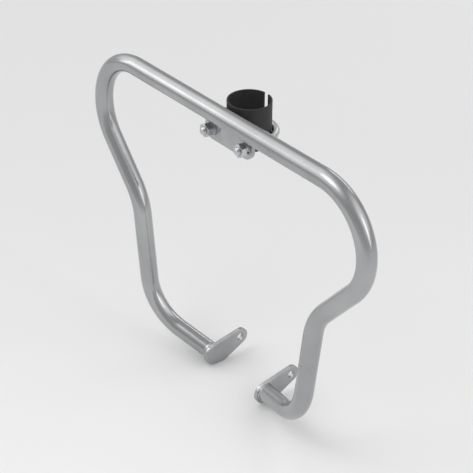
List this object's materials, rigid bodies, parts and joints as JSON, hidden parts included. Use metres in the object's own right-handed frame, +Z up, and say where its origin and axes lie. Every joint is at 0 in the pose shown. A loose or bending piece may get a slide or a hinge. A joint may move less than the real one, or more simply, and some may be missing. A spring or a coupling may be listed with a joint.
{
  "type": "motorcycle crash bars",
  "caption": "Tubular crash bars for a motorcycle: one bent tube with a loop at each side, clamped to the frame's downtube by a plate and U-bolt, with flat bolt-on foot plates.",
  "frame": {"origin": "on the axis of the downtube that the clamp fits, level with the U-bolt", "axes": "+X to the rider's left, -Y the way the motorcycle travels, +Z up along the downtube"},
  "size_m": [0.5544, 0.1017, 0.4447],
  "materials": {
    "chrome": "polished chrome plating",
    "zinc": "bright zinc plating",
    "rubber": "matt black"
  },
  "bodies": {
    "root": {"guard_tube": "chrome", "centre_plate": "chrome", "foot_plate_left": "chrome", "foot_plate_right": "chrome", "downtube_sleeve": "rubber", "u_bolt": "zinc", "flat_washer_left": "zinc", "flat_washer_right": "zinc", "spring_washer_left": "zinc", "spring_washer_right": "zinc", "hex_nut_left": "zinc", "hex_nut_right": "zinc"}
  },
  "joints": []
}
